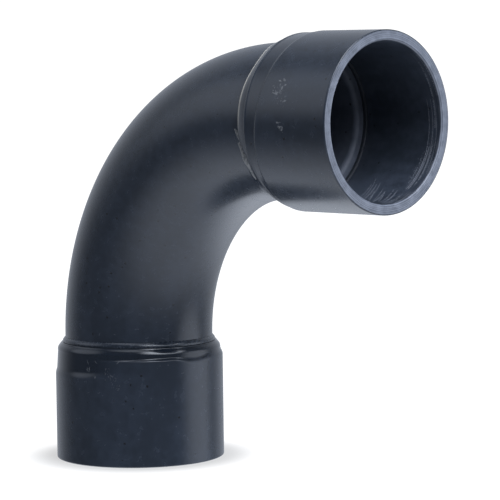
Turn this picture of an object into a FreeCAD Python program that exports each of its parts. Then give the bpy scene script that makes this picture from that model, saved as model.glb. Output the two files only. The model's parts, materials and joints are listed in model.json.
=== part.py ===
import FreeCAD, Part

import math
import os

# A 90 degree rigid PVC conduit elbow with a socket on each end.
# Millimetres. Origin: centre of the lower socket's mouth, on the plane it stands on.
# +Z runs up the lower socket's axis; +X is the way the upper socket's mouth points.
# XZ is the plane of symmetry. "Depth" is distance from a socket's mouth along its axis.

# The bent tube
PIPE_OD = 50.0
TUBE_WALL = 3.7
BEND_RADIUS = 73.0       # to the tube's centre line
TANGENT_DEPTH = 41.7     # depth at which the straight stub turns into the bend
TUBE_END_ROUND = 1.8     # rounding of the bore's rim at each tube end
TUBE_END_BEVEL = 0.3     # bevel that leads the tube end into its socket

# The sockets: collars cemented over the tube's ends
SOCKET_OD = 56.9
SOCKET_BORE_R = 25.1     # takes a 50 mm pipe with 0.1 mm all round
LEAD_IN = 0.5            # radial size of the chamfer inside the mouth
LEAD_IN_DEPTH = 0.5
MOUTH_EDGE_ROUND = 0.4   # outer rim of the mouth
STOP_DEPTH = 31.5        # a low ledge starts here, and an entering pipe stops against it
STOP_WIDTH = 1.2
STOP_HEIGHT = 0.6
STOP_EDGE_ROUND = 0.2
COLLAR_LENGTH = 39.5
COLLAR_REAR_R = 26.15    # outer radius of the collar's rear face
SHOULDER_DEPTH = 36.8    # the rounded shoulder starts here
SHOULDER_R = 27.6
SHOULDER_BULGE = 0.45    # how far the shoulder's curve stands out of a straight bevel
NECK_DEPTH = 25.0        # the slightly tapered neck starts here, hidden under the band
NECK_R = 28.35
BAND_TILT = 3.2          # the full-diameter band is this much longer at the throat, shorter at the heel
LOWER_BAND_DEPTH = 32.5  # its mean depth on the lower socket
UPPER_BAND_DEPTH = 30.0  # and on the upper socket
BAND_EDGE_ROUND = 0.12

# Solvent cement: a film between tube and collar, and the bead squeezed out behind it
CEMENT_FILM = 0.2
LOWER_BEAD_HEIGHT = 0.85
LOWER_BEAD_LENGTH = 1.8
UPPER_BEAD_HEIGHT = 0.6
UPPER_BEAD_LENGTH = 1.2
BEAD_FULLNESS = 0.62     # how far the bead's curved face stands out of a straight bevel

TUBE_R = PIPE_OD / 2
TUBE_BORE_R = TUBE_R - TUBE_WALL
SOCKET_R = SOCKET_OD / 2
STOP_R = SOCKET_BORE_R - STOP_HEIGHT
TUBE_END_DEPTH = STOP_DEPTH + STOP_WIDTH       # the tube ends against the back of the ledge
SEAT_R = TUBE_R + CEMENT_FILM                  # bore of the collar round the tube
AXIS_HEIGHT = TANGENT_DEPTH + BEND_RADIUS      # of the upper socket above the lower mouth
BEND_CENTRE = FreeCAD.Vector(BEND_RADIUS, 0, TANGENT_DEPTH)
Y = FreeCAD.Vector(0, 1, 0)
Z = FreeCAD.Vector(0, 0, 1)


def point(radius, depth):
    """A point of a turned outline, in the half plane right of the socket's axis."""
    return FreeCAD.Vector(radius, 0, depth)


def line(start, end):
    return Part.LineSegment(start, end).toShape()


def arc(start, middle, end):
    return Part.Arc(start, middle, end).toShape()


def turned(edges):
    """A solid of revolution about Z from the edges of its outline."""
    face = Part.Face(Part.Wire(Part.__sortEdges__(edges)))
    return face.revolve(FreeCAD.Vector(), Z, 360)


def turned_polygon(points):
    closed = points + points[:1]
    return turned([line(a, b) for a, b in zip(closed, closed[1:])])


def bulged(start, end, bulge):
    """The middle point of an arc from start to end that stands out from the axis by bulge."""
    chord = end - start
    outward = Y.cross(chord).normalize()
    return (start + end) / 2 + outward * bulge


def circles_at(shape, radius, depth):
    """The full circles about Z with this radius, at this depth."""
    found = []
    for edge in shape.Edges:
        curve = edge.Curve
        if not isinstance(curve, Part.Circle):
            continue
        if abs(curve.Radius - radius) < 1e-4 and abs(curve.Center.z - depth) < 1e-4:
            found.append(edge)
    return found


def solid(shape):
    """The single solid in a boolean's result, with split faces joined again."""
    solids = shape.removeSplitter().Solids
    assert len(solids) == 1, len(solids)
    return solids[0]


def placed_at_upper_end(shape):
    """Carry a shape from the lower socket's place to the upper socket's.

    Depth, up at the lower socket, becomes -X; the throat side, +X there, becomes -Z.
    """
    turn = FreeCAD.Matrix(0, 0, -1, AXIS_HEIGHT,
                          0, -1, 0, 0,
                          -1, 0, 0, AXIS_HEIGHT,
                          0, 0, 0, 1)
    moved = shape.copy()
    moved.transformShape(turn)
    return moved


def tube_stub():
    """The straight stub that goes into the lower socket, with its end rounded and bevelled."""
    length = TANGENT_DEPTH - TUBE_END_DEPTH
    base = FreeCAD.Vector(0, 0, TUBE_END_DEPTH)
    stub = Part.makeCylinder(TUBE_R, length, base, Z).cut(Part.makeCylinder(TUBE_BORE_R, length, base, Z))
    stub = stub.makeFillet(TUBE_END_ROUND, circles_at(stub, TUBE_BORE_R, TUBE_END_DEPTH))
    return stub.makeChamfer(TUBE_END_BEVEL, circles_at(stub, TUBE_R, TUBE_END_DEPTH))


def tube_bend():
    """The quarter ring between the two stubs."""
    start = FreeCAD.Vector(0, 0, TANGENT_DEPTH)
    rims = [Part.Wire(Part.makeCircle(radius, start, Z)) for radius in (TUBE_R, TUBE_BORE_R)]
    return Part.Face(rims).revolve(BEND_CENTRE, Y, 90)


def bend_tube():
    """Thick-walled pipe, hot-bent through a right angle, with both ends cut square."""
    stub = tube_stub()
    return solid(tube_bend().fuse([stub, placed_at_upper_end(stub)]))


def collar_band(band_depth):
    """The full-diameter part of a socket; its rear edge slants, further back on the throat side."""
    slope = math.atan(BAND_TILT / SOCKET_R)
    rod = Part.makeCylinder(SOCKET_R, COLLAR_LENGTH)
    rod = rod.makeFillet(MOUTH_EDGE_ROUND, circles_at(rod, SOCKET_R, 0))
    block = Part.makeBox(4 * SOCKET_R, 4 * SOCKET_R, COLLAR_LENGTH)
    block.translate(FreeCAD.Vector(-2 * SOCKET_R, -2 * SOCKET_R, 0))
    block.rotate(FreeCAD.Vector(), Y, -math.degrees(slope))
    block.translate(FreeCAD.Vector(0, 0, band_depth))
    band = rod.cut(block)
    slanted = [edge for edge in band.Edges if isinstance(edge.Curve, Part.Ellipse)]
    return band.makeFillet(BAND_EDGE_ROUND, slanted)


def collar_neck():
    """The slightly tapered rear of a socket and its rounded shoulder."""
    shoulder = point(SHOULDER_R, SHOULDER_DEPTH)
    rear = point(COLLAR_REAR_R, COLLAR_LENGTH)
    edges = [line(point(0, NECK_DEPTH), point(NECK_R, NECK_DEPTH)),
             line(point(NECK_R, NECK_DEPTH), shoulder),
             arc(shoulder, bulged(shoulder, rear, SHOULDER_BULGE), rear),
             line(rear, point(0, COLLAR_LENGTH)),
             line(point(0, COLLAR_LENGTH), point(0, NECK_DEPTH))]
    return turned(edges)


def collar_bore():
    """Everything hollow in a socket: lead-in, pipe bore, stop ledge and the tube's slightly wider seat."""
    spare = 1.0
    lead_slope = LEAD_IN / LEAD_IN_DEPTH
    return turned_polygon([point(0, -spare),
                           point(SOCKET_BORE_R + LEAD_IN + spare * lead_slope, -spare),
                           point(SOCKET_BORE_R, LEAD_IN_DEPTH),
                           point(SOCKET_BORE_R, STOP_DEPTH),
                           point(STOP_R, STOP_DEPTH),
                           point(STOP_R, TUBE_END_DEPTH),
                           point(SEAT_R, TUBE_END_DEPTH),
                           point(SEAT_R, COLLAR_LENGTH + spare),
                           point(0, COLLAR_LENGTH + spare)])


def collar(band_depth):
    """One socket, where the lower one stands."""
    outside = collar_band(band_depth).fuse(collar_neck()).removeSplitter()
    body = outside.cut(collar_bore())
    return solid(body.makeFillet(STOP_EDGE_ROUND, circles_at(body, STOP_R, STOP_DEPTH)))


def cement(bead_height, bead_length):
    """The film of cement round the tube in a socket and the bead behind the collar's rear edge."""
    start = TUBE_END_DEPTH + TUBE_END_BEVEL
    crest = point(TUBE_R + bead_height, COLLAR_LENGTH)
    toe = point(TUBE_R, COLLAR_LENGTH + bead_length)
    bulge = BEAD_FULLNESS * bead_height / 2
    edges = [line(point(TUBE_R, start), point(SEAT_R, start)),
             line(point(SEAT_R, start), point(SEAT_R, COLLAR_LENGTH)),
             line(point(SEAT_R, COLLAR_LENGTH), crest),
             arc(crest, bulged(crest, toe, bulge), toe),
             line(toe, point(TUBE_R, start))]
    return turned(edges)


def lower_socket():
    return collar(LOWER_BAND_DEPTH)


def upper_socket():
    return placed_at_upper_end(collar(UPPER_BAND_DEPTH))


def lower_cement():
    return cement(LOWER_BEAD_HEIGHT, LOWER_BEAD_LENGTH)


def upper_cement():
    return placed_at_upper_end(cement(UPPER_BEAD_HEIGHT, UPPER_BEAD_LENGTH))


NODES = {
    "bend_tube": bend_tube,
    "lower_socket": lower_socket,
    "upper_socket": upper_socket,
    "lower_cement": lower_cement,
    "upper_cement": upper_cement,
}

os.makedirs("parts", exist_ok=True)
for name, build in NODES.items():
    shape = build()
    assert shape.isValid() and len(shape.Solids) == 1, name
    shape.exportStep(f"parts/{name}.step")
    print(name, round(shape.Volume / 1000, 2), "cm3", shape.BoundBox)
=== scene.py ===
import json
import math

import bpy
import numpy as np
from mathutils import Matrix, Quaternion, Vector


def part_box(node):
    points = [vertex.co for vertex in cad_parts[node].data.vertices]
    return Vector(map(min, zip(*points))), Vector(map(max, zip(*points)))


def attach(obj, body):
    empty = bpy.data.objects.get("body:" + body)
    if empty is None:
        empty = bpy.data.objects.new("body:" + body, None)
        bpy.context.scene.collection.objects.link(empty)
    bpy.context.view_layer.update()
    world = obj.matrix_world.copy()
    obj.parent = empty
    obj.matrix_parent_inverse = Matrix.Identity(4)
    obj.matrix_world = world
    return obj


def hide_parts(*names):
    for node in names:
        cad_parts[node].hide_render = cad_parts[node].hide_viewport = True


# A rigid PVC conduit elbow: a hot-bent tube with a socket cemented over each end.
# Shapes are worked out in millimetres and turned into metres where a mesh is made.
# "Depth" is the distance from a socket's mouth along its axis. Angles go round that axis,
# in degrees, from the throat, the inside of the bend. Colours are linear.

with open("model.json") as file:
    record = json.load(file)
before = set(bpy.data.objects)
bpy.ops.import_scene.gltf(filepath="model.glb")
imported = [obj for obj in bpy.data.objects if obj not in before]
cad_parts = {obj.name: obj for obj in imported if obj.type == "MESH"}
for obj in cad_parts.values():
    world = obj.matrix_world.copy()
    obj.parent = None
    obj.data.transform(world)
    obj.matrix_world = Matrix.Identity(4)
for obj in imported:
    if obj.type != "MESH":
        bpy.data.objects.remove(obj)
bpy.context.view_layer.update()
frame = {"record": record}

MM = 0.001
mounts = {mount["name"]: mount for mount in frame["record"]["mounts"]}

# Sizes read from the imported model
TUBE_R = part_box("bend_tube")[1].y / MM
TUBE_END_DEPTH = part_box("bend_tube")[0].z / MM
SOCKET_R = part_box("lower_socket")[1].y / MM
COLLAR_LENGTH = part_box("lower_socket")[1].z / MM
AXIS_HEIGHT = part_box("upper_socket")[1].x / MM
BORE_R = mounts["lower_socket_bore"]["dims"]["r_mm"]
LEAD_IN = mounts["lower_socket_bore"]["pos_m"][2] / MM
# Height and length of the bead of cement behind the lower collar
LOWER_BEAD = (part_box("lower_cement")[1].y / MM - TUBE_R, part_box("lower_cement")[1].z / MM - COLLAR_LENGTH)

# Sizes that aren't read from it
UPPER_BEAD = (0.6, 1.2)      # the same two for the upper collar
BEND_RADIUS = 73.0
TUBE_BORE_R = 21.3
TUBE_END_ROUND = 1.8
TUBE_END_BEVEL = 0.3
STOP_R = 24.5                # the ledge that an entering pipe stops against
STOP_ROUND = 0.2
MOUTH_ROUND = 0.4
SEAT_R = 25.2
NECK_R = 28.35
NECK_DEPTH = 25.0
NECK_TAPER = 0.0636          # radius lost per mm of depth
REAR_R = 26.15
LIP_ROUND = 0.3
RIDGE_WIDTH = 0.35
BAND_FINE_DEPTH = 24.5       # rings lie closer together behind this depth

STOP_DEPTH = LEAD_IN + mounts["lower_socket_bore"]["dims"]["length_mm"]
TANGENT_DEPTH = AXIS_HEIGHT - BEND_RADIUS
BEND_LENGTH = BEND_RADIUS * math.pi / 2
MOUTH_TO_MOUTH = BEND_LENGTH + 2 * TANGENT_DEPTH

OUTSIDE, MOUTH_FACE, INSIDE = range(3)      # material indices on a socket


# ---------------------------------------------------------------- curves and profiles

def smooth(t):
    """0 to 1 with flat ends, as t goes from 0 to 1."""
    t = np.clip(t, 0, 1)
    return t * t * (3 - 2 * t)


def ring_angles(fine_from, fine_to, fine_step, coarse_step):
    """Angles once round, in degrees, closer together between fine_from and fine_to."""
    fine = np.arange(fine_from, fine_to, fine_step)
    count = round((360 - fine_to + fine_from) / coarse_step)
    coarse = np.linspace(fine_to, fine_from + 360, count, endpoint=False)
    return np.concatenate([fine, coarse])


def around(angles, knots):
    """A smooth closed curve through (angle, value) knots, at the given angles."""
    knot_angle, knot_value = np.array(sorted(knots)).T
    knot_angle = np.concatenate([knot_angle - 360, knot_angle, knot_angle + 360])
    knot_value = np.tile(knot_value, 3)
    turned = (angles + 180) % 360 - 180
    after = np.searchsorted(knot_angle, turned, side="right")
    t = (turned - knot_angle[after - 1]) / (knot_angle[after] - knot_angle[after - 1])
    return knot_value[after - 1] + (knot_value[after] - knot_value[after - 1]) * smooth(t)


def steps(count):
    """count values from 0 up to just under 1, in a column, one for each ring."""
    return np.arange(count)[:, None] / count


def run(start, end, count):
    """Rings along a straight run of a profile, closer together near its ends, without the last."""
    t = (1 - np.cos(steps(count) * math.pi)) / 2
    return start[0] + (end[0] - start[0]) * t, start[1] + (end[1] - start[1]) * t


def bend(centre, size, start, end, count):
    """Rings round an arc of a profile, from the start angle to the end angle, without the last."""
    angle = np.radians(start + (end - start) * steps(count))
    return centre[0] + size * np.cos(angle), centre[1] + size * np.sin(angle)


def joined(angles, stretches):
    """One profile, as (ring, angle) arrays of radius and depth, from its stretches in order."""
    radius = []
    depth = []
    for stretch in stretches:
        r, d, _ = np.broadcast_arrays(*stretch, angles[None, :])
        radius.append(r)
        depth.append(d)
    return np.concatenate(radius), np.concatenate(depth)


# ---------------------------------------------------------------- from profile to mesh

def at_lower(across, side, along):
    return np.stack([across, side, along], -1)


def at_upper(across, side, along):
    return np.stack([AXIS_HEIGHT - along, -side, AXIS_HEIGHT - across], -1)


def along_bend(across, side, along):
    """along runs up from the lower mouth's plane, round the bend and out to the upper mouth's."""
    turn = np.clip((along - TANGENT_DEPTH) / BEND_RADIUS, 0, math.pi / 2)
    before = np.minimum(along - TANGENT_DEPTH, 0)
    after = np.maximum(along - TANGENT_DEPTH - BEND_LENGTH, 0)
    reach = BEND_RADIUS - across
    x = BEND_RADIUS - reach * np.cos(turn) + after
    z = TANGENT_DEPTH + before + reach * np.sin(turn)
    return np.stack([x, side, z], -1)


def make_piece(name, straight, place, faces):
    """A smooth mesh object. straight holds its points as they would lie round a straight axis, which
    the materials read as the point attribute "straight"; place bends and turns them into position."""
    mesh = bpy.data.meshes.new(name)
    points = place(straight[:, 0], straight[:, 1], straight[:, 2]) * MM
    mesh.from_pydata(points, [], faces)
    mesh.polygons.foreach_set("use_smooth", np.ones(len(mesh.polygons), bool))
    mesh.attributes.new("straight", "FLOAT_VECTOR", "POINT")
    mesh.attributes["straight"].data.foreach_set("vector", straight.astype(np.float32).ravel())
    piece = bpy.data.objects.new(name, mesh)
    bpy.context.scene.collection.objects.link(piece)
    return piece


def ring_piece(name, angles, radius, along, place):
    """A closed mesh from a profile that goes once round its own outline."""
    theta = np.radians(angles)
    straight = np.stack([radius * np.cos(theta), radius * np.sin(theta), along], -1)
    index = np.arange(radius.size).reshape(radius.shape)
    on = np.roll(index, -1, axis=0)
    quads = np.stack([index, np.roll(index, -1, axis=1), np.roll(on, -1, axis=1), on], -1)
    return make_piece(name, straight.reshape(-1, 3), place, quads.reshape(-1, 4).tolist())


def add_mark(piece, name, value):
    """A point attribute that a material reads."""
    attribute = piece.data.attributes.new(name, "FLOAT", "POINT")
    attribute.data.foreach_set("value", value.astype(np.float32).ravel())


# ---------------------------------------------------------------- sockets

def lower_shape(angles):
    """The band ends in a soft step on the heel side, and in a crisper, deeper one on the throat side."""
    heel_share = around(angles, [(-180, 1), (-78, 1), (-48, 0), (40, 0), (120, 1)])
    heel_edge = around(angles, [(-180, 29.5), (-90, 30), (-55, 31), (120, 30)])
    throat_edge = around(angles, [(-60, 35.5), (-20, 35.7), (0, 34.8), (20, 35.8), (60, 35.5)])
    throat_width = around(angles, [(-60, 0.8), (-20, 0.8), (0, 2.6), (60, 2.6), (120, 1.2)])
    return {
        "steps": [(heel_edge, heel_share, 2.6), (throat_edge, 1 - heel_share, throat_width)],
        "rear": around(angles, [(-180, 39.3), (-60, 39.45), (90, 39.3)]),
        "shoulder": 36.6,
        "bulge": 0.50,
        "ridge": 0.0,
        "lip_wear": np.zeros_like(angles),
    }


def upper_shape(angles):
    """The band's edge slants; the rear edge is uneven, with a thin lip on the heel side that is whitened and
    carries a painted highlight.
    """
    mean_depth = 29.8
    slant = 3.4
    turned_by = 8            # degrees from the throat to where the band is longest
    edge = mean_depth + slant * np.cos(np.radians(angles + turned_by))
    return {
        "steps": [(edge, np.ones_like(angles), 0.9)],
        "rear": around(angles, [(-180, 39.4), (0, 38.9), (35, 39.2), (60, 38.8), (105, 39), (135, 38.2),
                                (160, 39.4)]),
        "shoulder": 34.2,
        "bulge": 0.12,
        "ridge": 0.22,
        "lip_wear": around(angles, [(-180, 0.9), (-165, 0), (80, 0), (100, 0.45), (120, 0.9)]),
    }


def stepped(depth, shape):
    """0 on the full-diameter band, 1 behind it, with a soft step between."""
    return sum(share * smooth((depth - edge) / width + 0.5) for edge, share, width in shape["steps"])


def outside_radius(depth, shape):
    """The band, the step at its rear edge, the tapered neck, and the shoulder that falls to the rear."""
    shoulder = shape["shoulder"]
    cone = NECK_R - NECK_TAPER * (depth - NECK_DEPTH)
    shoulder_r = NECK_R - NECK_TAPER * (shoulder - NECK_DEPTH)
    t = np.clip((depth - shoulder) / (shape["rear"] - shoulder), 0, 1)
    rounded = shoulder_r + (REAR_R - shoulder_r) * t + 4 * shape["bulge"] * t * (1 - t)
    ridge = shape["ridge"] * np.exp(-((depth - shoulder) / RIDGE_WIDTH) ** 2)
    neck = np.where(depth < shoulder, cone, rounded) + ridge
    return SOCKET_R + (neck - SOCKET_R) * stepped(depth, shape)


def socket(name, angles, shape, place):
    """A collar: one closed outline from the mouth's inner edge, over the outside, and back down the bore."""
    rear = shape["rear"][None, :]
    lip_r = outside_radius(rear - LIP_ROUND, shape) - LIP_ROUND
    lip_turn = steps(7) * math.pi / 2
    outer_depth = np.concatenate([
        np.broadcast_to(run((0, MOUTH_ROUND), (0, BAND_FINE_DEPTH), 18)[1], (18, len(angles))),
        BAND_FINE_DEPTH + (rear - LIP_ROUND - BAND_FINE_DEPTH) * steps(64)])
    parts = [
        (run((BORE_R + LEAD_IN, 0), (SOCKET_R - MOUTH_ROUND, 0), 12), MOUTH_FACE),
        (bend((SOCKET_R - MOUTH_ROUND, MOUTH_ROUND), MOUTH_ROUND, -90, 0, 6), OUTSIDE),
        ((outside_radius(outer_depth, shape), outer_depth), OUTSIDE),
        ((lip_r + LIP_ROUND * np.cos(lip_turn), rear - LIP_ROUND * (1 - np.sin(lip_turn))), OUTSIDE),
        ((lip_r + (SEAT_R - lip_r) * steps(4), rear), OUTSIDE),
        ((SEAT_R, rear + (TUBE_END_DEPTH - rear) * steps(4)), OUTSIDE),
        (run((SEAT_R, TUBE_END_DEPTH), (STOP_R, TUBE_END_DEPTH), 2), INSIDE),
        (run((STOP_R, TUBE_END_DEPTH), (STOP_R, STOP_DEPTH + STOP_ROUND), 3), INSIDE),
        (bend((STOP_R + STOP_ROUND, STOP_DEPTH + STOP_ROUND), STOP_ROUND, 180, 270, 4), INSIDE),
        (run((STOP_R + STOP_ROUND, STOP_DEPTH), (BORE_R, STOP_DEPTH), 2), INSIDE),
        (run((BORE_R, STOP_DEPTH), (BORE_R, LEAD_IN), 36), INSIDE),
        (run((BORE_R, LEAD_IN), (BORE_R + LEAD_IN, 0), 3), MOUTH_FACE),
    ]
    radius, depth = joined(angles, [rings for rings, _ in parts])
    counts = [np.broadcast(*rings).shape[0] for rings, _ in parts]
    piece = ring_piece(name, angles, radius, depth, place)
    faces = np.repeat([face for _, face in parts], counts)
    piece.data.polygons.foreach_set("material_index", np.repeat(faces, len(angles)).astype(np.int32))
    lip_rows = slice(sum(counts[:3]) - 3, sum(counts[:4]) + 1)
    lip = np.zeros_like(radius)
    lip[lip_rows] = shape["lip_wear"]
    add_mark(piece, "lip", lip)
    add_mark(piece, "neck", stepped(depth, shape))
    return piece


# ---------------------------------------------------------------- tube and cement

def bend_tube():
    """The bent tube: outer wall, rounded ends and bore in one closed outline."""
    angles = ring_angles(-180, 20, 1.0, 2.0)
    first = TUBE_END_DEPTH
    last = MOUTH_TO_MOUTH - TUBE_END_DEPTH
    bevel_r = TUBE_R - TUBE_END_BEVEL
    round_r = TUBE_BORE_R + TUBE_END_ROUND
    outside = [
        run((bevel_r, first), (TUBE_R, first + TUBE_END_BEVEL), 3),
        run((TUBE_R, first + TUBE_END_BEVEL), (TUBE_R, last - TUBE_END_BEVEL), 160),
        run((TUBE_R, last - TUBE_END_BEVEL), (bevel_r, last), 3),
    ]
    inside = [
        run((bevel_r, last), (round_r, last), 4),
        bend((round_r, last - TUBE_END_ROUND), TUBE_END_ROUND, 90, 180, 10),
        run((TUBE_BORE_R, last - TUBE_END_ROUND), (TUBE_BORE_R, first + TUBE_END_ROUND), 100),
        bend((round_r, first + TUBE_END_ROUND), TUBE_END_ROUND, 180, 270, 10),
        run((round_r, first), (bevel_r, first), 4),
    ]
    radius, along = joined(angles, outside + inside)
    piece = ring_piece("tube", angles, radius, along, along_bend)
    outside_rows = sum(np.broadcast(*rings).shape[0] for rings in outside)
    faces = (np.arange(len(radius)) >= outside_rows).astype(np.int32)
    piece.data.polygons.foreach_set("material_index", np.repeat(faces, len(angles)))
    return piece


def cement_ring(name, angles, shape, place, bead):
    """The film of cement in a joint and the bead behind the collar."""
    height, length = bead
    rear = shape["rear"][None, :]
    start = TUBE_END_DEPTH + TUBE_END_BEVEL
    t = steps(14)
    swell = 1 - t + 0.4 * np.sin(t * math.pi)
    radius, depth = joined(angles, [
        (SEAT_R, start + (rear - start) * steps(10)),
        (SEAT_R + (TUBE_R + height - SEAT_R) * steps(3), rear),
        (TUBE_R + height * swell, rear + length * t),
        (TUBE_R, rear + length + (start - rear - length) * steps(12)),
        run((TUBE_R, start), (SEAT_R, start), 3),
    ])
    return ring_piece(name, angles, radius, depth, place)


SMEAR_FROM = 86              # degrees: it starts on the tube behind the upper collar
SMEAR_TO = 50                # and ends on the collar's shoulder
SMEAR_DEPTH = 36.4
SMEAR_RISE = 5.0             # how much deeper it starts than it ends
SMEAR_HALF_WIDTH = 1.1


def cement_smear():
    """A thread of cement dragged round the upper collar's shoulder, half sunk into it."""
    count = 90
    t = np.linspace(0, 1, count)
    angle = SMEAR_FROM + (SMEAR_TO - SMEAR_FROM) * t
    depth = SMEAR_DEPTH + SMEAR_RISE * (1 - t) ** 2.5
    half_width = SMEAR_HALF_WIDTH * (1 + 0.25 * np.sin(14 * t))     # a little wider and narrower on its way
    shape = upper_shape(angle)
    surface = np.where(depth > shape["rear"], TUBE_R, outside_radius(depth, shape))
    theta = np.radians(angle)
    outward = np.stack([np.cos(theta), np.sin(theta), np.zeros(count)], -1)
    line = outward * surface[:, None] + np.outer(depth, (0, 0, 1))
    forward = np.gradient(line, axis=0)
    across = np.cross(forward, outward)
    across /= np.linalg.norm(across, axis=1)[:, None]
    wide = (half_width * np.sqrt(np.sin(np.clip(t, 0.02, 0.98) * math.pi)))[:, None, None]
    turn = np.radians(np.arange(0, 360, 30))[None, :, None]
    flat = 0.4               # thickness as a share of the width
    points = (line[:, None] + across[:, None] * wide * np.cos(turn)
              + outward[:, None] * wide * flat * np.sin(turn))
    sides = turn.size
    index = np.arange(count * sides).reshape(count, sides)
    quads = np.stack([index[:-1], index[1:], np.roll(index[1:], -1, 1), np.roll(index[:-1], -1, 1)], -1)
    faces = quads.reshape(-1, 4).tolist() + [index[0].tolist(), index[-1, ::-1].tolist()]
    return make_piece("upper_smear", points.reshape(-1, 3), at_upper, faces)


# ---------------------------------------------------------------- marks, as lines from (depth, angle) to
# (depth, angle) with a half width in mm

def scattered(seed, count, depths, angles, lengths, half_widths):
    """Short marks in random places and directions inside one patch of a collar."""
    rng = np.random.default_rng(seed)
    marks = []
    for _ in range(count):
        depth = rng.uniform(*depths)
        angle = rng.uniform(*angles)
        length = rng.uniform(*lengths)
        way = rng.uniform(0, math.pi)
        end = (depth + length * math.cos(way), angle + math.degrees(length * math.sin(way) / SOCKET_R))
        marks.append(((depth, angle), end, rng.uniform(*half_widths)))
    return marks


def pipe_streaks(seed=3, count=13):
    """Fine streaks that fan out over the bore, where pipes were pushed in and turned."""
    rng = np.random.default_rng(seed)
    marks = []
    for depth in np.linspace(1, 19, count):
        angle = rng.uniform(-4, 0) - 0.8 * depth
        end = (depth + rng.uniform(0, 4), angle - rng.uniform(14, 28))
        marks.append(((depth, angle), end, rng.uniform(0.15, 0.35)))
    return marks


UPPER_FLAKES = (scattered(4, 10, (17, 22), (100, 118), (0.8, 1.5), (0.22, 0.4))
                + scattered(9, 4, (17, 19), (86, 92), (0.6, 1.0), (0.25, 0.45)))
LOWER_FLAKES = scattered(5, 6, (25, 37), (-90, -50), (0.6, 1.6), (0.15, 0.28))
UPPER_CRUMBS = [((23, 113), (17, 103), 2.2), ((19, 92), (17, 86), 1.0)]
LOWER_CRUMBS = [((33, -66), (26, -56), 1.6)]
UPPER_SLITS = [((36, 51), (34, 48), 0.22)]
BORE_SCRATCHES = pipe_streaks() + [((depth + 1, -105), (depth, -50), 0.2) for depth in (1.5, 3, 4.5)]
BORE_WEAR = [((3.5, -70), (4.5, -35), 2.6), ((1.5, -150), (2.5, -85), 1.0)]


# ---------------------------------------------------------------- materials

DEEP = (0.015, 0.0205, 0.030, 1)
MID = (0.022, 0.0295, 0.043, 1)
# Painted light: the four bore colours are paler than DEEP and MID, for light that falls into the bores.
LIT_BORE_DEEP = (0.028, 0.035, 0.047, 1)
LIT_BORE_MID = (0.046, 0.056, 0.075, 1)
LIT_TUBE_BORE_DEEP = (0.055, 0.065, 0.085, 1)
LIT_TUBE_BORE_MID = (0.080, 0.092, 0.118, 1)
DUST = (0.19, 0.195, 0.205, 1)
RUBBED = (0.26, 0.275, 0.31, 1)
PIT_AND_LEDGE_SHADE = (0.006, 0.007, 0.009, 1)
NECK_DARK = (0.007, 0.011, 0.018, 1)
# The rear lip's pale colour: whitening together with a painted highlight along the edge.
LIP_PALE_AND_HIGHLIGHT = (0.62, 0.58, 0.50, 1)
CUT_DARK = (0.06, 0.07, 0.09, 1)
CUT_LIGHT = (0.17, 0.185, 0.22, 1)
CEMENT_DARK = (0.05, 0.055, 0.06, 1)
CEMENT_PALE = (0.18, 0.18, 0.18, 1)


class Nodes:
    """Short calls for the nodes that the materials, the world and the scratch group need."""

    def __init__(self, tree):
        self.tree = tree

    def add(self, kind, settings, *inputs, **named):
        """A node; inputs fill its sockets in order, named ones by name, with a value or a link."""
        made = self.tree.nodes.new("ShaderNode" + kind)
        for name, value in settings.items():
            setattr(made, name, value)
        for socket, value in zip(made.inputs, inputs):
            self.give(socket, value)
        for name, value in named.items():
            self.give(made.inputs[name.replace("_", " ")], value)
        return made

    def give(self, socket, value):
        if isinstance(value, bpy.types.NodeSocket):
            self.tree.links.new(value, socket)
        else:
            socket.default_value = value

    def math(self, operation, *values):
        return self.add("Math", {"operation": operation}, *values).outputs[0]

    def vector(self, operation, *values):
        return self.add("VectorMath", {"operation": operation}, *values)

    def ramp(self, value, low, high, to_low=0.0, to_high=1.0):
        """value from low to high becomes to_low to to_high, clamped, with soft ends."""
        made = self.add("MapRange", {"interpolation_type": "SMOOTHSTEP"}, value, low, high, to_low, to_high)
        return made.outputs["Result"]

    def mix(self, factor, first, second):
        made = self.add("Mix", {"data_type": "RGBA"})
        for index, value in ((0, factor), (6, first), (7, second)):     # its colour sockets
            self.give(made.inputs[index], value)
        return made.outputs[2]


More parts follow.
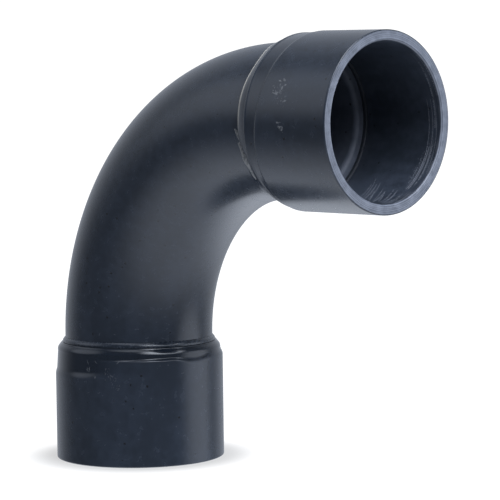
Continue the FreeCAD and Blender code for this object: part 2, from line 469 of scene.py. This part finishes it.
class Shader(Nodes):
    """A node material whose pattern is laid out along the straightened piece, in mm."""

    def __init__(self, name, shift=(0, 0, 0)):
        self.material = bpy.data.materials.new(name)
        self.material.use_nodes = True
        super().__init__(self.material.node_tree)
        self.surface = self.tree.nodes["Principled BSDF"]
        self.straight = self.add("Attribute", {"attribute_name": "straight"}).outputs["Vector"]
        self.shifted = self.vector("ADD", self.straight, shift).outputs[0]

    def set(self, **values):
        for name, value in values.items():
            self.give(self.surface.inputs[name.replace("_", " ")], value)

    def noise(self, per_mm, along=1.0, detail=2.0):
        """Noise with so many lumps per mm, drawn out along the axis where along is under 1."""
        point = self.vector("MULTIPLY", self.shifted, (1, 1, along)).outputs[0]
        return self.add("TexNoise", {}, Vector=point, Scale=per_mm, Detail=detail).outputs["Fac"]

    def lines(self, distance, per_mm):
        """Noise that changes only with the given distance, so it draws parallel lines."""
        made = self.add("TexNoise", {"noise_dimensions": "1D"}, W=distance, Scale=per_mm, Detail=3.0)
        return made.outputs["Fac"]

    def mark(self, name):
        return self.add("Attribute", {"attribute_name": name}).outputs["Fac"]

    def bump(self, height, micrometres, under=None):
        """Height 0 to 1 raised by so many micrometres, on top of an earlier bump."""
        made = self.add("Bump", {}, Height=height, Distance=micrometres * 1e-6)
        if under is not None:
            self.give(made.inputs["Normal"], under)
        return made.outputs["Normal"]

    def dust(self, spacing, size):
        """Specks of about this size in mm, each in a cell of this spacing."""
        cells = self.add("TexVoronoi", {}, Vector=self.shifted, Scale=1 / spacing)
        return self.ramp(cells.outputs["Distance"], size / spacing, 0.5 * size / spacing)

    def unrolled(self, radius):
        """The surface rolled out flat: arc length, depth, 0."""
        parts = self.add("SeparateXYZ", {}, self.straight).outputs
        arc = self.math("MULTIPLY", self.math("ARCTAN2", parts["Y"], parts["X"]), radius)
        return self.add("CombineXYZ", {}, arc, parts["Z"]).outputs[0]

    def scratches(self, group, radius, marks):
        """1 on any of the marks, each from (depth, angle) to (depth, angle) with a half width in mm."""
        flat = self.unrolled(radius)
        ragged = self.math("MULTIPLY_ADD", self.noise(2.2, 1.0, 4), 4.0, -1.9)
        total = 0.0
        for start, end, half_width in marks:
            node = self.add("Group", {"node_tree": group}, Point=flat, Half_Width=half_width, Ragged=ragged)
            for name, (depth, angle) in (("Start", start), ("End", end)):
                self.give(node.inputs[name], (math.radians(angle) * radius, depth, 0))
            total = self.math("MAXIMUM", total, node.outputs[0])
        return total


def scratch_group():
    """Shared nodes: 1 along the line from Start to End, tapering to both ends, with a ragged edge."""
    tree = bpy.data.node_groups.new("scratch", "ShaderNodeTree")
    for name in ("Point", "Start", "End"):
        tree.interface.new_socket(name, in_out="INPUT", socket_type="NodeSocketVector")
    for name in ("Half Width", "Ragged"):
        tree.interface.new_socket(name, in_out="INPUT", socket_type="NodeSocketFloat")
    tree.interface.new_socket("Mask", in_out="OUTPUT", socket_type="NodeSocketFloat")
    nodes = Nodes(tree)
    given = tree.nodes.new("NodeGroupInput").outputs
    way = nodes.vector("SUBTRACT", given["End"], given["Start"]).outputs[0]
    offset = nodes.vector("SUBTRACT", given["Point"], given["Start"]).outputs[0]
    reach = nodes.vector("DOT_PRODUCT", offset, way).outputs["Value"]
    whole = nodes.vector("DOT_PRODUCT", way, way).outputs["Value"]
    t = nodes.add("Math", {"operation": "DIVIDE", "use_clamp": True}, reach, whole).outputs[0]
    nearest = nodes.add("VectorMath", {"operation": "SCALE"}, way, Scale=t).outputs[0]
    distance = nodes.vector("DISTANCE", offset, nearest).outputs["Value"]
    belly = nodes.math("MULTIPLY", t, nodes.math("SUBTRACT", 1.0, t))
    width = nodes.math("MULTIPLY", given["Half Width"], nodes.math("MULTIPLY_ADD", belly, 2.4, 0.4))
    edge = nodes.math("ADD", nodes.math("DIVIDE", distance, width), given["Ragged"])
    mask = nodes.tree.nodes.new("NodeGroupOutput")
    nodes.give(mask.inputs["Mask"], nodes.ramp(edge, 0.75, 1.1, 1.0, 0.0))
    return tree


def plastic(name, shift, roughness=0.26, dark=DEEP, light=MID):
    """Dark blue-grey PVC: faint clouding, drawing lines, orange peel, a little dust, dark pinpricks."""
    shader = Shader(name, shift)
    clouds = shader.noise(0.09, 0.35, 3)
    lines = shader.noise(1.3, 0.04)
    peel = shader.noise(0.45, 0.7, 1)
    grain = shader.noise(2.6, 1.0, 1)
    dust = shader.dust(5.5, 0.24)
    pinpricks = shader.dust(4.2, 0.5)
    mottle = shader.noise(0.33, 1.0, 4)
    tone = shader.math("MULTIPLY_ADD", shader.math("SUBTRACT", mottle, 0.5), 0.7, clouds)
    colour = shader.mix(shader.ramp(tone, 0.3, 0.7), dark, light)
    colour = shader.mix(shader.math("MULTIPLY", dust, 0.09), colour, DUST)
    colour = shader.mix(pinpricks, colour, PIT_AND_LEDGE_SHADE)
    rough = shader.math("MULTIPLY_ADD", mottle, 0.10, roughness - 0.05)
    normal = shader.bump(lines, 0.22)
    normal = shader.bump(peel, 5.0, normal)
    normal = shader.bump(grain, 0.25, normal)
    normal = shader.bump(pinpricks, -12.0, normal)
    shader.set(Base_Color=colour, Roughness=rough, Normal=normal)
    return shader, colour, rough, normal


def tube_plastic():
    return plastic("tube_plastic", (3, 7, 11))[0].material


def tube_bore_plastic():
    """The tube's bore and rounded ends: duller than its outside, and paler as painted light falling into the
    bore.
    """
    return plastic("tube_bore", (13, 2, 29), 0.6, LIT_TUBE_BORE_DEEP, LIT_TUBE_BORE_MID)[0].material


def socket_plastic(name, shift, group, flakes, crumbs, slits, strength, neck_tint):
    """The same plastic, darker and glossier on the neck, with torn pale flakes and crumbs, dark slits, and a
    whitened rear edge that also carries a painted highlight."""
    shader, colour, rough, normal = plastic(name, shift)
    neck = shader.mark("neck")
    colour = shader.mix(shader.math("MULTIPLY", neck, neck_tint), colour, NECK_DARK)
    rough = shader.math("MULTIPLY_ADD", neck, -0.1 * neck_tint, rough)
    specks = shader.ramp(shader.noise(1.7, 1.0, 3), 0.56, 0.64, 0.0, 0.7)
    scattered = shader.math("MULTIPLY", shader.scratches(group, NECK_R, crumbs), specks)
    torn = shader.math("MAXIMUM", shader.scratches(group, NECK_R, flakes), scattered)
    shade = shader.ramp(shader.noise(1.1, 1.0, 3), 0.3, 0.7, 0.4 * strength, strength)
    colour = shader.mix(shader.math("MULTIPLY", torn, shade), colour, DUST)
    # Painted highlight: the pale colour on the rear lip is partly whitening and partly the bright line along
    # that edge.
    lip = shader.math("MULTIPLY", shader.mark("lip"), shader.ramp(shader.noise(0.35), 0.2, 0.5, 0.7, 1.0))
    colour = shader.mix(lip, colour, LIP_PALE_AND_HIGHLIGHT)
    rough = shader.math("ADD", rough, shader.math("MULTIPLY", shader.math("MAXIMUM", torn, lip), 0.25))
    normal = shader.bump(torn, 25.0, normal)
    if slits:
        slit = shader.scratches(group, NECK_R, slits)
        colour = shader.mix(slit, colour, PIT_AND_LEDGE_SHADE)
        normal = shader.bump(slit, -80.0, normal)
    shader.set(Base_Color=colour, Roughness=rough, Normal=normal)
    return shader.material


def sawn_face():
    """The cut mouth: matt, paler, with fine rings left by the cutter."""
    shader = Shader("sawn_face")
    radius = shader.vector("LENGTH", shader.vector("MULTIPLY", shader.straight, (1, 1, 0)).outputs[0])
    rings = shader.lines(radius.outputs["Value"], 4.2)
    tone = shader.math("MULTIPLY_ADD", shader.noise(0.35, 1.0, 3), 0.35, rings)
    shader.set(Base_Color=shader.mix(shader.ramp(tone, 0.56, 0.78), CUT_DARK, CUT_LIGHT), Roughness=0.5,
               Normal=shader.bump(rings, 14.0))
    return shader.material


def bore_plastic(name, shift, group):
    """The inside of a socket: turning marks, streaks where pipes were pushed in, and colours paler than the
    outside's, as painted light falling in through the mouth.
    """
    shader, colour, rough, normal = plastic(name, shift, 0.36, LIT_BORE_DEEP, LIT_BORE_MID)
    depth = shader.add("SeparateXYZ", {}, shader.straight).outputs["Z"]
    turning = shader.lines(depth, 1.6)
    lines = shader.ramp(turning, 0.45, 0.62)
    worn = shader.math("MULTIPLY", shader.ramp(depth, 0.5, 6.0, 1.0, 0.0), lines)
    worn = shader.math("MULTIPLY", worn, shader.ramp(shader.noise(0.16, 0.5, 3), 0.35, 0.6))
    patch = shader.math("MULTIPLY", shader.scratches(group, BORE_R, BORE_WEAR), lines)
    streaks = shader.scratches(group, BORE_R, BORE_SCRATCHES)
    rubbed = 0.0
    for mask, strength in ((worn, 0.3), (streaks, 0.45), (patch, 0.8)):
        rubbed = shader.math("MAXIMUM", rubbed, shader.math("MULTIPLY", mask, strength))
    colour = shader.mix(rubbed, colour, RUBBED)
    # Painted shade: darker in the corner at the foot of the ledge, deep in the bore.
    colour = shader.mix(shader.ramp(depth, STOP_DEPTH - 0.4, STOP_DEPTH, 0.0, 0.5), colour, PIT_AND_LEDGE_SHADE)
    rough = shader.math("MULTIPLY_ADD", rubbed, 0.3, rough)
    rough = shader.math("ADD", rough, shader.ramp(depth, STOP_DEPTH - 2, STOP_DEPTH, 0.0, 0.3))
    normal = shader.bump(turning, 5.0, normal)
    shader.set(Base_Color=colour, Roughness=rough, Normal=normal)
    return shader.material


def cured_cement():
    """Glossy, lumpy, a little paler than the plastic."""
    shader = Shader("cured_cement")
    lumps = shader.noise(0.9)
    shader.set(Base_Color=shader.mix(shader.ramp(lumps, 0.35, 0.7), DEEP, MID),
               Roughness=shader.ramp(lumps, 0.3, 0.7, 0.2, 0.3), Normal=shader.bump(lumps, 4.0))
    return shader.material


def dried_smear():
    """The smeared cement: pale, matt and broken up."""
    shader = Shader("dried_smear")
    lumps = shader.noise(1.4, 1.0, 3)
    shader.set(Base_Color=shader.mix(shader.ramp(lumps, 0.35, 0.65), CEMENT_DARK, CEMENT_PALE),
               Roughness=shader.ramp(lumps, 0.3, 0.7, 0.3, 0.5), Normal=shader.bump(lumps, 80.0))
    return shader.material


# ---------------------------------------------------------------- assembly

def place_piece(piece, materials, node):
    for material in materials:
        piece.data.materials.append(material)
    if node:
        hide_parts(node)
    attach(piece, "root")


def build_object():
    place_piece(bend_tube(), [tube_plastic(), tube_bore_plastic()], "bend_tube")
    group = scratch_group()
    sawn = sawn_face()
    glue = cured_cement()
    angles = ring_angles(-110, 178, 0.6, 2.0)
    lower_marks = (LOWER_FLAKES, LOWER_CRUMBS, [], 0.35, 0.85)
    upper_marks = (UPPER_FLAKES, UPPER_CRUMBS, UPPER_SLITS, 1.0, 0.2)
    ends = [
        ("lower", lower_shape(angles), at_lower, lower_marks, LOWER_BEAD, (17, 5, 2)),
        ("upper", upper_shape(angles), at_upper, upper_marks, UPPER_BEAD, (31, 19, 23)),
    ]
    for end, shape, place, marks, bead, shift in ends:
        skin = socket_plastic(end + "_plastic", shift, group, *marks)
        bore = bore_plastic(end + "_bore", shift, group)
        collar = socket(end + "_collar", angles, shape, place)
        place_piece(collar, [skin, sawn, bore], end + "_socket")
        ring = cement_ring(end + "_bead", angles, shape, place, bead)
        place_piece(ring, [glue], end + "_cement")
    place_piece(cement_smear(), [dried_smear()], None)


# ---------------------------------------------------------------- studio

# A plain studio of soft lamps far away, laid out round the camera, which stands at azimuth 315. Each has
# the azimuth and elevation of its middle in degrees, and its brightness.
BEHIND, LEFT, RIGHT, MOUTH_SIDE = 135, 225, 45, 0
SOFTBOXES = (
    (MOUTH_SIDE, 45, 9.0),       # the window, facing the upper mouth
    (0, 90, 2.0),                # overhead
    (LEFT, 30, 0.9),
    (RIGHT, 0, 1.4),
)
WHITE_PAPER = (
    (BEHIND, 0, 0.45),           # the sweep behind the object
    (0, -90, 1.2),               # and the table under it
)
SOFTBOX_SPREAD = (10, 30)        # degrees: full out to the first, nothing past the second
PAPER_SPREAD = (30, 80)
DAYLIGHT = (0.93, 1.0, 1.13)     # the colour that all of them share
FILL = 0.14
BACKDROP = 1.1
FLOOR_GLOW_IN_PAINTED_SHADOW = 0.60            # the table's brightness against the socket's foot, dimmed there as a painted contact shadow
FLOOR_FAR = 0.98


def direction(azimuth, elevation):
    a = math.radians(azimuth)
    e = math.radians(elevation)
    return Vector((math.cos(e) * math.cos(a), math.cos(e) * math.sin(a), math.sin(e)))


def studio():
    """The camera sees a plain white room; the object is lit by the soft lights."""
    made = bpy.data.worlds.new("studio")
    bpy.context.scene.world = made
    made.use_nodes = True
    nodes = Nodes(made.node_tree)
    looking = nodes.add("TexCoord", {}).outputs["Generated"]
    light = FILL
    for lamps, (full, end) in ((SOFTBOXES, SOFTBOX_SPREAD), (WHITE_PAPER, PAPER_SPREAD)):
        for azimuth, elevation, brightness in lamps:
            dot = nodes.vector("DOT_PRODUCT", looking, direction(azimuth, elevation)).outputs["Value"]
            beam = nodes.ramp(dot, math.cos(math.radians(end)), math.cos(math.radians(full)), 0.0, brightness)
            light = nodes.math("ADD", beam, light)
    room = made.node_tree.nodes["Background"]
    nodes.give(room.inputs["Color"], (*DAYLIGHT, 1))
    nodes.give(room.inputs["Strength"], light)
    seen = nodes.add("Background", {}, (1, 1, 1, 1), BACKDROP)
    path = nodes.add("LightPath", {})
    both = nodes.add("MixShader", {}, path.outputs["Is Camera Ray"], room.outputs[0], seen.outputs[0])
    nodes.give(made.node_tree.nodes["World Output"].inputs["Surface"], both.outputs[0])


def floor():
    """A pale, glowing table that only the camera sees, with a painted contact shadow: it glows a little less
    round the socket that stands on it.
    """
    half = 1.2
    mesh = bpy.data.meshes.new("floor")
    corners = [(-half, -half, 0), (half, -half, 0), (half, half, 0), (-half, half, 0)]
    mesh.from_pydata(corners, [], [(0, 1, 2, 3)])
    table = bpy.data.objects.new("floor", mesh)
    bpy.context.scene.collection.objects.link(table)
    table.visible_diffuse = False
    table.visible_glossy = False
    table.visible_shadow = False
    shader = Shader("white_table")
    away = shader.vector("LENGTH", shader.add("NewGeometry", {}).outputs["Position"]).outputs["Value"]
    # Painted contact shadow: the table's emission is weaker close round the lower socket's foot.
    glow_with_painted_shadow = shader.ramp(away, SOCKET_R * MM, 1.5 * SOCKET_R * MM, FLOOR_GLOW_IN_PAINTED_SHADOW, FLOOR_FAR)
    shader.set(Base_Color=(0.12, 0.12, 0.12, 1), Roughness=1.0, Specular_IOR_Level=0.0,
               Emission_Color=(1, 1, 1, 1), Emission_Strength=glow_with_painted_shadow)
    mesh.materials.append(shader.material)


def camera():
    azimuth = math.radians(45.26)
    elevation = math.radians(4.69)
    roll = math.radians(-0.71)
    distance = 0.80
    target = Vector((0.0542, 0, 0.0727))
    back = Vector((math.sin(azimuth) * math.cos(elevation), -math.cos(azimuth) * math.cos(elevation),
                   math.sin(elevation)))
    data = bpy.data.cameras.new("camera")
    data.sensor_width = 36
    data.lens = 177.8
    made = bpy.data.objects.new("camera", data)
    made.location = target + back * distance
    made.rotation_mode = "QUATERNION"
    made.rotation_quaternion = (-back).to_track_quat("-Z", "Y") @ Quaternion((0, 0, 1), roll)
    bpy.context.scene.collection.objects.link(made)
    bpy.context.scene.camera = made


build_object()
floor()
studio()
camera()
bpy.context.scene.view_settings.view_transform = "Standard"
